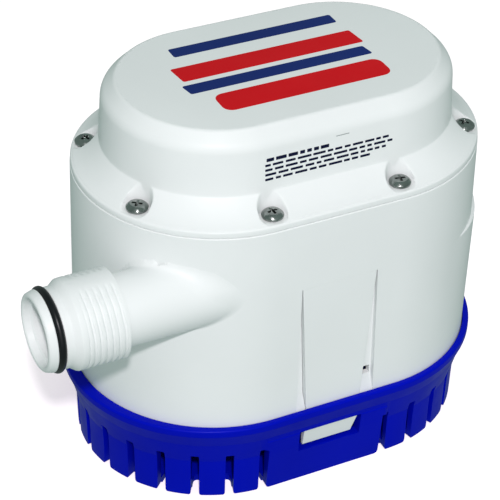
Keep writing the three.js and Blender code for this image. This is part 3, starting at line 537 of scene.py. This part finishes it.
def pump_housing():
    swell_top = PARTING - 0.35
    heights = (SWELL_FOOT, 50, 62, 74, swell_top, PARTING, 100)
    wall = [(shell_radius(z), z, 0) for z in heights]
    profile = rounded([
        (SKIRT, LEDGE + 0.3, 0),
        (SKIRT, SHOULDER, 0),
        (SHELL_BOTTOM, SHOULDER, 0.4),
        *wall,
        (SHELL_TOP, HOUSING_TOP, 0.45),
        (SHELL_INSIDE, HOUSING_TOP, 0),
        (SHELL_INSIDE, LEDGE + 0.3, 0),
    ], closed=True)
    out = PLAIN[1]
    degrees = np.degrees(np.abs(np.arctan2(out[:, 1], out[:, 0])))
    right_end = smooth_step((SWELL_EDGE - degrees) / SWELL_FADE)
    rows = []
    for radius, height in profile:
        swell = np.interp(height, [SWELL_FOOT, swell_top, PARTING], [0, END_SWELL, 0])
        rows.append(oval_row(radius + swell * right_end if radius > SKIRT else radius, height))
    body = skin("pump_housing_detail", rows, wrap=True)
    cutters = []
    gap = TONGUE_GAP
    tongue = [
        (tongue_edge(-1, LEDGE) - gap, LEDGE - 2),
        (tongue_edge(1, LEDGE) + gap, LEDGE - 2),
        (TONGUE_TOP_HALF + gap, TONGUE_TOP + TONGUE_TOP_GAP),
        (-TONGUE_TOP_HALF - gap, TONGUE_TOP + TONGUE_TOP_GAP),
    ]
    for turn in (Matrix.Identity(4), HALF_TURN):
        cutters.append(slab("tongue", tongue, SHELL_INSIDE - 2, LIP, turn @ UPRIGHT))
        cutters += [groove_cutter(side, turn) for side in (-1, 1)]
        cutters.append(slab("hole", rectangle(HOLE_X, HOLE_Z), SHELL_INSIDE - 2, LIP, turn @ UPRIGHT))
    gland = turned("gland_hole", [(GLAND_HOLE, SHELL_INSIDE - 2), (GLAND_HOLE, LIP)], steps=48)
    gland.data.transform(moved(0, 0, GLAND_Z) @ TO_Y)
    for cutter in (*cutters, gland):
        carve(body, cutter)
    return soften(body, 0.22, 40, 2, TONGUE_TOP)


finish_piece(pump_housing(), "pump", LOOKS["white_plastic"], "pump_housing")

# ---------- release tongues ----------

CATCH_X = (-11.3, 8.6)
CATCH_Z = (16.2, 24.1)
CATCH_OUT = (0.1, 1.5)      # how far it stands out at its foot and at its top
CATCH_FLARE = 2             # how much wider it is at its top
TONGUE_INSIDE = 48.9
TOP_SLOPE = 0.35            # the top slopes down inwards, which lets the tongue swing in


def release_tongue(name, turn):
    """The tongue's plate, the leg that passes inside the rim, and the catch in the window."""
    rows = []
    for z in np.linspace(SHOULDER + 0.2, TONGUE_TOP, 12):
        left, right = tongue_edge(-1, z), tongue_edge(1, z)
        front = float(shell_radius(z))
        inner = min(z, TONGUE_TOP - TOP_SLOPE)
        rows.append([(left, -front, z), (right, -front, z),
                     (right, -TONGUE_INSIDE, inner), (left, -TONGUE_INSIDE, inner)])
    rows.pop(-2)        # too close under the top's slope
    plate = skin(name, rows)
    leg_half = TONGUE_FOOT_HALF - TONGUE_LEAN - 0.1
    leg_back = -TONGUE_INSIDE + 0.3
    leg = slab("leg", rectangle((-leg_half, leg_half), (-SKIRT, leg_back)), CATCH_Z[1] - 1, SHOULDER + 2)
    catch_rows = []
    for z, out, flare in zip(CATCH_Z, CATCH_OUT, (0, CATCH_FLARE)):
        across = (CATCH_X[0], CATCH_X[1] + flare)
        catch_rows.append([(x, y, z) for x, y in rectangle(across, (-SKIRT - out, leg_back))])
    catch = skin("catch", catch_rows)
    carve(plate, leg, "UNION")
    carve(plate, catch, "UNION")
    plate.data.transform(turn)
    return soften(plate, 0.2, 40, 2, TONGUE_TOP)


for name, turn in (("front", Matrix.Identity(4)), ("rear", HALF_TURN)):
    finish_piece(release_tongue(name + "_release_tongue_detail", turn), name + "_tongue",
                 LOOKS["white_plastic"], name + "_release_tongue")

# ---------- discharge port ----------

THREAD_PITCH = 2.2
THREAD_FROM = 12.9
THREAD_TO = 27.6
THREAD_CREST = 16.05
THREAD_DEPTH = 0.55
COLLAR = 14.15
O_RING_AT = 4.65
O_RING_WIRE = 1.4
O_RING_OUTER = 15.05
BORE = 10.2
PORT_STEPS = 192
FLARE = 15.0            # how far out the flare is looked for
BURIED = 1.2            # how far inside the wall the hidden parts of the flare stop
WALL_OVERLAP = 0.04


def wall_distance(points):
    """How far points lie outside the housing's wall."""
    beyond = np.maximum(np.abs(points[..., 0]) - HALF_STRAIGHT, 0)
    return np.hypot(beyond, points[..., 1]) - shell_radius(points[..., 2])


def blended_radius(x, angles):
    """The tube's radius at x for each angle, flared where it runs into the housing's wall.

    The flare is broad over the tube and tight under it.
    """
    above = smooth_step((np.sin(angles) + 0.25) / 0.7)
    reach = 0.7 + above * (np.interp(x, [-80, -62, -46, -37], [2.2, 3.0, 4.0, 1.2]) - 0.7)
    radii = np.linspace(PORT_TUBE, PORT_TUBE + FLARE, 301)
    r, t = np.meshgrid(radii, angles)
    points = np.stack([np.full_like(r, x), PORT_Y + r * np.cos(t), PORT_Z + r * np.sin(t)], -1)
    tube, wall = r - PORT_TUBE, wall_distance(points) + WALL_OVERLAP
    near = np.maximum(reach[:, None] - np.abs(tube - wall), 0)
    field = np.minimum(tube, wall) - near**2 / (4 * reach[:, None])
    outside = field > 0
    # where along each spoke the field turns positive
    after = np.maximum(np.argmax(outside, axis=1), 1)
    row = np.arange(len(angles))
    low, high = field[row, after - 1], field[row, after]
    share = np.clip(-low / np.maximum(high - low, 1e-9), 0, 1)
    crossing = radii[after - 1] + share * (radii[1] - radii[0])
    # a spoke that never comes out of the wall stops a little way inside it
    buried = radii[np.argmax(wall < -BURIED, axis=1)]
    return np.minimum(np.where(outside.any(axis=1), crossing, buried), PORT_TUBE + reach)


def thread_radius(back, angles):
    """The thread's radius at a distance back from the mouth.

    It is a worn helix that fades at its ends, and at the top and bottom where the mould parts.
    """
    turn = (back / THREAD_PITCH - angles / (2 * math.pi)) % 1
    valley = smooth_step((0.30 - np.abs(turn - 0.5)) / 0.18)
    ends = smooth_step((back - THREAD_FROM) / 1.2) * smooth_step((THREAD_TO - back) / 0.8)
    from_right = np.abs(np.mod(angles + math.pi, 2 * math.pi) - math.pi)
    parting = smooth_step((np.abs(from_right - math.pi / 2) - 0.16) / 0.35)
    return THREAD_CREST - THREAD_DEPTH * valley * ends * parting


def discharge_port():
    angles = np.arange(PORT_STEPS) * 2 * math.pi / PORT_STEPS

    def row(back, radius):
        radius = np.broadcast_to(radius, PORT_STEPS)
        return np.column_stack([np.full(PORT_STEPS, PORT_MOUTH + back), PORT_Y + radius * np.cos(angles),
                                PORT_Z + radius * np.sin(angles)])

    seat = O_RING_OUTER - 2 * O_RING_WIRE
    groove = (O_RING_AT - O_RING_WIRE, O_RING_AT + O_RING_WIRE)
    front = rounded([
        (PORT_ROOT - PORT_MOUTH, BORE, 0),
        (3.2, BORE + 0.3, 0.3),
        (2.6, BORE + 1.0, 0.4),
        (0.0, BORE + 1.5, 1.0),
        (0.0, 13.5, 1.3),
        (groove[0], 14.4, 0.4),
        (groove[0], seat, 0),
        (groove[1], seat, 0),
        (groove[1], COLLAR, 0.3),
        (8.8, COLLAR + 0.05, 1.2),
        (11.2, THREAD_CREST - 0.1, 1.2),
        (THREAD_FROM, THREAD_CREST, 0),
    ])
    rows = [row(back, radius) for back, radius in front]
    for back in np.arange(THREAD_FROM + 0.2, THREAD_TO, 0.2):
        rows.append(row(back, thread_radius(back, angles)))
    for back, radius in rounded([(THREAD_TO, THREAD_CREST, 0), (THREAD_TO + 0.4, THREAD_CREST, 0.3),
                                 (THREAD_TO + 1.0, PORT_TUBE, 0.3), (THREAD_TO + 1.6, PORT_TUBE, 0)]):
        rows.append(row(back, radius))
    for x in np.linspace(PORT_MOUTH + THREAD_TO + 2, PORT_ROOT, 64):
        rows.append(row(x - PORT_MOUTH, blended_radius(x, angles)))
    body = skin("discharge_port_detail", rows, wrap=True)
    return shade(body)


finish_piece(discharge_port(), "pump", LOOKS["white_plastic"], "discharge_port")


def o_ring():
    middle = O_RING_OUTER - O_RING_WIRE
    rows = []
    for i in range(PORT_STEPS):
        angle = 2 * math.pi * i / PORT_STEPS
        ring = []
        for k in range(24):
            t = 2 * math.pi * k / 24
            r = middle + O_RING_WIRE * math.cos(t)
            x = PORT_MOUTH + O_RING_AT + O_RING_WIRE * math.sin(t)
            ring.append((x, PORT_Y + r * math.cos(angle), PORT_Z + r * math.sin(angle)))
        rows.append(ring)
    return shade(skin("discharge_o_ring_detail", rows, wrap=True))


finish_piece(o_ring(), "pump", LOOKS["black_rubber"], "discharge_o_ring")

# ---------- cover ----------

COVER_BOTTOM = HOUSING_TOP + 0.08
COVER_EDGE = 50.6
EDGE_TOP = 117.5
SHOULDER_TOP = 124.9
DOME_FOOT = 40.6
DOME = 39.6
DOME_CHAMFER = 4.8
COVER_INSIDE = 37.0
COVER_ROOF = 3.2        # thickness of the top
SHOULDER_STEP = 0.24    # between the rows of the shoulder
RECESS = 4.9            # radius
RECESS_FLOOR = 118.0
RECESS_OUT = 0.6        # how far the recess lies outside its screw
RECESS_SLOPE = 7
EDGE_MELT = 0.55        # rounding where a screw's recess meets the shoulder


def soft_floor(a, melt):
    """a where it is above 0, and 0 below, with the corner rounded."""
    return (a + np.sqrt(a * a + melt * melt)) / 2


def shoulder_height(radius):
    """The shoulder's height round the oval at one radius, sunk round each screw."""
    outer, low = COVER_EDGE - 0.7, EDGE_TOP + 0.2
    t = (outer - radius) / (outer - DOME_FOOT)
    slope = low + (SHOULDER_TOP - low) * (0.5 * t + 0.5 * t * t)
    base, out = FINE
    spots = base + out * radius
    middles = screw_places(RECESS_OUT)
    away = np.min([np.hypot(spots[:, 0] - x, spots[:, 1] - y) for x, y in middles], axis=0)
    recess = RECESS_FLOOR + RECESS_SLOPE * soft_floor(away - RECESS, 0.2) - 0.1
    return slope - soft_floor(slope - recess, EDGE_MELT) + EDGE_MELT / 8


def cover():
    inside = rounded([
        (COVER_INSIDE - 14, COVER_TOP - COVER_ROOF, 0),
        (COVER_INSIDE, COVER_TOP - COVER_ROOF, 3),
        (COVER_INSIDE, COVER_BOTTOM, 0),
        (COVER_EDGE, COVER_BOTTOM, 0.3),
        (COVER_EDGE, EDGE_TOP + 0.2, 0.9),
        (COVER_EDGE - 2, EDGE_TOP + 0.25, 0),
    ])[:-1]
    rows = [oval_row(r, z, FINE) for r, z in inside]
    for radius in np.arange(COVER_EDGE - 1.0, DOME_FOOT + 0.05, -SHOULDER_STEP):
        rows.append(oval_row(radius, shoulder_height(radius), FINE))
    foot = shoulder_height(DOME_FOOT)
    rows.append(oval_row(DOME_FOOT, foot + 0.05, FINE))
    for share in np.linspace(0.15, 1, 6):
        rows.append(oval_row(DOME_FOOT - 0.1 * share, foot + (SHOULDER_TOP + 0.7 - foot) * share, FINE))
    dome = rounded([
        (DOME_FOOT - 0.1, SHOULDER_TOP + 1.0, 0),
        (DOME, COVER_TOP - DOME_CHAMFER, 6.0),
        (DOME - DOME_CHAMFER, COVER_TOP, 2.0),
        (DOME - 20, COVER_TOP, 0),
    ], steps=10)
    rows += [oval_row(r, z, FINE) for r, z in dome]
    return shade(skin("top_cover_detail", rows), 50)


finish_piece(cover(), "pump", LOOKS["white_plastic"], "top_cover")

# ---------- cover screws ----------

HEAD = 3.95
HEAD_HEIGHT = 2.4
SHANK = 1.8
SHANK_LENGTH = 13.0


def screw_mesh():
    """A pan-head screw with a cross recess, standing on the floor of its seat."""
    body = turned("screw", rounded([
        (0.3, -SHANK_LENGTH, 0),
        (SHANK - 0.4, -SHANK_LENGTH, 0),
        (SHANK, -SHANK_LENGTH + 1, 0),
        (SHANK, 0.3, 0),
        (HEAD - 0.1, 0.3, 0.1),
        (HEAD, 1.1, 0.5),
        (HEAD * 0.72, HEAD_HEIGHT - 0.15, 1.6),
        (0.3, HEAD_HEIGHT + 0.05, 0),
    ]), steps=72)
    for turn in (0, 90):
        arm = skin("arm", [
            [(x, y, z) for x, y in rectangle((-half, half), (-wide, wide))]
            for z, half, wide in ((0.5, 0.9, 0.3), (HEAD_HEIGHT + 0.4, 2.15, 0.5))
        ])
        arm.data.transform(Matrix.Rotation(math.radians(turn), 4, "Z"))
        carve(body, arm)
    return soften(body, 0.1, 38, 2)


pattern = screw_mesh()
screw_turns = (8, 52, 20, 70, -12, 35, 61, 25)      # degrees that each screw was left turned by
for i, (x, y) in enumerate(screw_places()):
    screw = pattern.copy()
    screw.data = pattern.data.copy()
    screw.name = f"cover_screw_{i + 1}_detail"
    turn = Matrix.Rotation(math.radians(screw_turns[i]), 4, "Z")
    screw.data.transform(moved(x, y, RECESS_FLOOR) @ turn)
    scene.collection.objects.link(screw)
    finish_piece(screw, "pump", LOOKS["stainless"], f"cover_screw_{i + 1}")
bpy.data.objects.remove(pattern)

# ---------- cable gland ----------

GLAND_FACE = 51.35
GLAND_BACK = 41.5
GLAND_END = 63.0
GLAND_HEX = 9.0         # radii of the hexagon, the cap and the cord's hole
GLAND_CAP = 7.6
GLAND_BORE = 3.4
GLAND_RIBS = 18


def cable_gland():
    sixths = [math.radians(60 * k) for k in range(6)]
    hexagon = [(GLAND_HEX * math.cos(t), GLAND_HEX * math.sin(t)) for t in sixths]
    body = slab("cable_gland_detail", hexagon, GLAND_FACE, GLAND_FACE + 4)
    cap = turned("cap", rounded([
        (0.5, GLAND_BACK, 0),
        (5.7, GLAND_BACK, 0.4),
        (5.7, GLAND_FACE + 1, 0),
        (GLAND_CAP, GLAND_FACE + 2, 0),
        (GLAND_CAP, GLAND_END - 1.6, 1.2),
        (6.0, GLAND_END, 0.8),
        (0.5, GLAND_END, 0),
    ]), steps=72)
    carve(body, cap, "UNION")
    ribs = []
    for k in range(GLAND_RIBS):
        rib = turned("rib", [(0.45, GLAND_FACE + 4.6), (0.45, GLAND_END - 2)], steps=10)
        turn = Matrix.Rotation(math.radians(360 * k / GLAND_RIBS), 4, "Z")
        rib.data.transform(turn @ moved(GLAND_CAP, 0, 0))
        ribs.append(rib)
    carve(body, merged("ribs", ribs))
    bore = [(GLAND_BORE, 40), (GLAND_BORE, GLAND_END - 2), (GLAND_BORE, GLAND_END - 1.8), (4.0, 64)]
    carve(body, turned("cord_hole", bore, steps=48))
    body.data.transform(moved(0, 0, GLAND_Z) @ TO_Y)
    return soften(body, 0.25, 35, 2)


finish_piece(cable_gland(), "pump", LOOKS["black_plastic"], "cable_gland")

# ---------- plain printing in place of the photograph's labels ----------

INK = 0.03          # thickness of the ink over the plastic


def bar(x0, x1, y0, y1, round_by=0.8, slant=0.0):
    """The outline of a bar with round corners, leaning by slant in X from front to back."""
    corners = [(x0, y0), (x1, y0), (x1 + slant, y1), (x0 + slant, y1)]
    return rounded([(x, y, round_by) for x, y in corners], closed=True)


def printed(name, outlines, ink, low, high, place=Matrix.Identity(4)):
    """A thin layer of ink in the shape of the outlines."""
    obj = merged(name, [slab("ink", outline, low, high, place) for outline in outlines])
    obj.data.shade_flat()
    obj.data.materials.append(ink)
    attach(obj, "pump")


TOP_INK = (COVER_TOP - 0.02, COVER_TOP + INK)
navy_bars = [bar(-32, 32, 17.5, 23.5), bar(-37, 33, -7.5, -1.5, slant=-1)]
red_bars = [bar(-36, 34, 1.0, 10.5, slant=-1), bar(-31, 33, -22.5, -11.0, 3.5)]
printed("print_navy_bars", navy_bars, NAVY, *TOP_INK)
printed("print_red_bars", red_bars, RED, *TOP_INK)

# lines of short dashes on the flat front of the dome, which leans back by its draft
WALL_FOOT = SHOULDER_TOP + 0.6
LEAN = math.atan2(DOME_FOOT - DOME, COVER_TOP - DOME_CHAMFER - WALL_FOOT)
dashes = []
rng = random.Random(7)
for height, thick, start, end in (
    (136.9, 1.25, -24.5, -1.0),
    (134.9, 0.85, -25.0, 22.0),
    (133.1, 0.85, -25.0, 23.5),
    (131.3, 0.85, -25.0, 21.0),
    (129.5, 0.85, -25.0, 16.0),
):
    middle = height - WALL_FOOT
    x = start
    while x < end:
        length = min(rng.uniform(1.6, 5.2), end - x)
        if length > 0.9:
            dashes.append(bar(x, x + length, middle - thick / 2, middle + thick / 2, 0.2))
        x += length + rng.uniform(0.7, 1.0)
on_wall = moved(0, -DOME_FOOT, WALL_FOOT) @ Matrix.Rotation(-LEAN, 4, "X") @ UPRIGHT
gate_mark = bar(1.6, 6.6, 139.6 - WALL_FOOT, 139.9 - WALL_FOOT, 0.1)
printed("print_dashes", dashes, DARK, -INK, INK, on_wall)
printed("gate_mark", [gate_mark], GREY, -INK, INK, on_wall)

# ---------- floor, light and camera ----------

floor_mesh = bpy.data.meshes.new("floor")
floor_mesh.from_pydata([(-4, -4, 0), (4, -4, 0), (4, 4, 0), (-4, 4, 0)], [], [(0, 1, 2, 3)])
floor = bpy.data.objects.new("floor", floor_mesh)
scene.collection.objects.link(floor)
floor_look = bpy.data.materials.new("pale_floor")
floor_look.use_nodes = True
floor_shader = floor_look.node_tree.nodes["Principled BSDF"]
floor_shader.inputs["Base Color"].default_value = (0.93, 0.93, 0.93, 1)
floor_shader.inputs["Roughness"].default_value = 0.9
floor_shader.inputs["Specular IOR Level"].default_value = 0.1
# the floor's own pink light evens out the tint of the studio
floor_shader.inputs["Emission Color"].default_value = (1.0, 0.85, 0.89, 1)
floor_shader.inputs["Emission Strength"].default_value = 0.55
floor_mesh.materials.append(floor_look)
floor.visible_diffuse = False       # the studio light alone fills the shadows and the sheen
floor.visible_glossy = False

world = bpy.data.worlds.new("studio")
world.use_nodes = True
world.node_tree.nodes["Background"].inputs["Color"].default_value = (0.77, 1.0, 0.93, 1)
world.node_tree.nodes["Background"].inputs["Strength"].default_value = 0.38
scene.world = world
scene.view_settings.view_transform = "Standard"


def softbox(name, azimuth, elevation, distance, size, power, colour):
    """An area light that looks at the middle of the pump. Azimuth 0 is in front, and 90 to the right."""
    a, e = math.radians(azimuth), math.radians(elevation)
    away = Vector((math.sin(a) * math.cos(e), -math.cos(a) * math.cos(e), math.sin(e)))
    lamp = bpy.data.lights.new(name, "AREA")
    lamp.shape = "DISK"
    lamp.size = size
    lamp.energy = power
    lamp.color = colour
    obj = bpy.data.objects.new(name, lamp)
    obj.location = Vector((0, 0, 0.07)) + away * distance
    obj.rotation_euler = away.to_track_quat("Z", "Y").to_euler()
    scene.collection.objects.link(obj)


softbox("key", -24.4, 43.2, 1.5, 0.09, 14.0, (1.0, 0.93, 0.97))
softbox("front_fill", -20, 15, 1.3, 1.2, 2.8, (1.0, 0.95, 0.98))

YAW, PITCH, ROLL = -0.48475, 0.61922, 0.03486       # radians
CAMERA_DISTANCE = 0.73242
TARGET = Vector((0, 0, 0.0642))
back = Vector((math.sin(YAW) * math.cos(PITCH), -math.cos(YAW) * math.cos(PITCH), math.sin(PITCH)))
right = Vector((0, 0, 1)).cross(back).normalized()
up = back.cross(right)
rolled_right = math.cos(ROLL) * right + math.sin(ROLL) * up
rolled_up = math.cos(ROLL) * up - math.sin(ROLL) * right
camera = bpy.data.objects.new("camera", bpy.data.cameras.new("camera"))
camera.matrix_world = Matrix((
    (rolled_right.x, rolled_up.x, back.x, 0),
    (rolled_right.y, rolled_up.y, back.y, 0),
    (rolled_right.z, rolled_up.z, back.z, 0),
    (0, 0, 0, 1),
))
camera.location = TARGET + back * CAMERA_DISTANCE
camera.data.sensor_width = 36
camera.data.lens = 141.83
camera.data.shift_x = -0.0450
camera.data.shift_y = 0.0155
camera.data.clip_start = 0.02
camera.data.clip_end = 20
scene.collection.objects.link(camera)
scene.camera = camera
